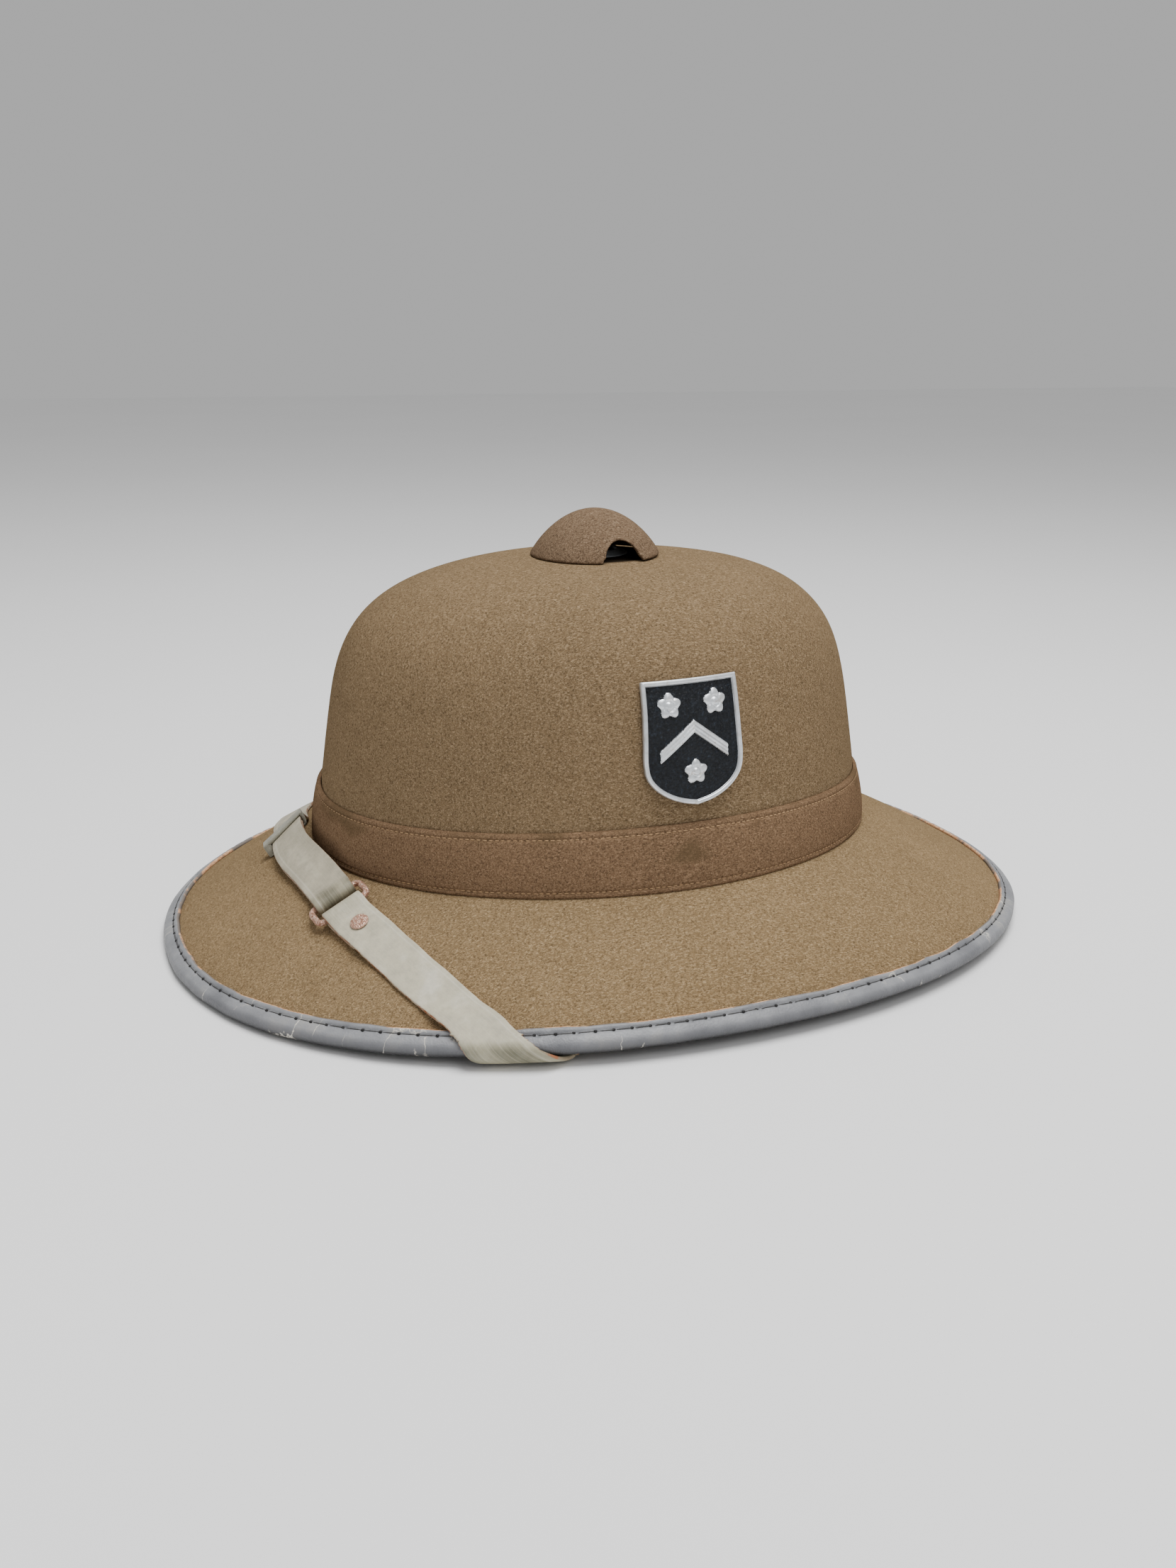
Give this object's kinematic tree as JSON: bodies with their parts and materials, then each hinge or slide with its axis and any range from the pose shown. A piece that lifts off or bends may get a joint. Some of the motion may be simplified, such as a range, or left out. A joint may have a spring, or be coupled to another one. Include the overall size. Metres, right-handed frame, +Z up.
{
  "type": "pith helmet",
  "caption": "Pressed felt sun helmet with a wide sloping brim, felt band, grey rim binding, vent cap, shield badge and leather chin strap over the brim.",
  "frame": {"origin": "middle of the overall box on the plane the rim rests on", "axes": "+Z up, -Y towards the front of the hat, +X towards the badge on the wearer's left"},
  "size_m": [0.2674, 0.337, 0.1538],
  "materials": {
    "felt": "napped pressed felt, olive brown",
    "brim_felt": "napped pressed felt, olive brown",
    "band_felt": "napped felt strip, reddish brown",
    "binding": "grey coated binding, satin",
    "cap_felt": "napped pressed felt, olive brown",
    "eyelet_metal": "dull grey",
    "badge_metal": "cast, silvered, dark field",
    "strap_leather": "grey-green painted leather",
    "copper_metal": "dull copper, worn",
    "clip_metal": "grey-green paint",
    "anchor_metal": "dull"
  },
  "bodies": {
    "root": {"crown": "felt", "brim": "brim_felt", "hat_band": "band_felt", "brim_binding": "binding", "vent_cap": "cap_felt", "vent_ring": "eyelet_metal", "badge_shield": "badge_metal", "strap_long": "strap_leather", "strap_short": "strap_leather", "strap_ring": "copper_metal", "strap_rivet": "copper_metal", "strap_clip": "clip_metal", "strap_anchor_left": "anchor_metal", "strap_anchor_right": "anchor_metal"}
  },
  "joints": []
}
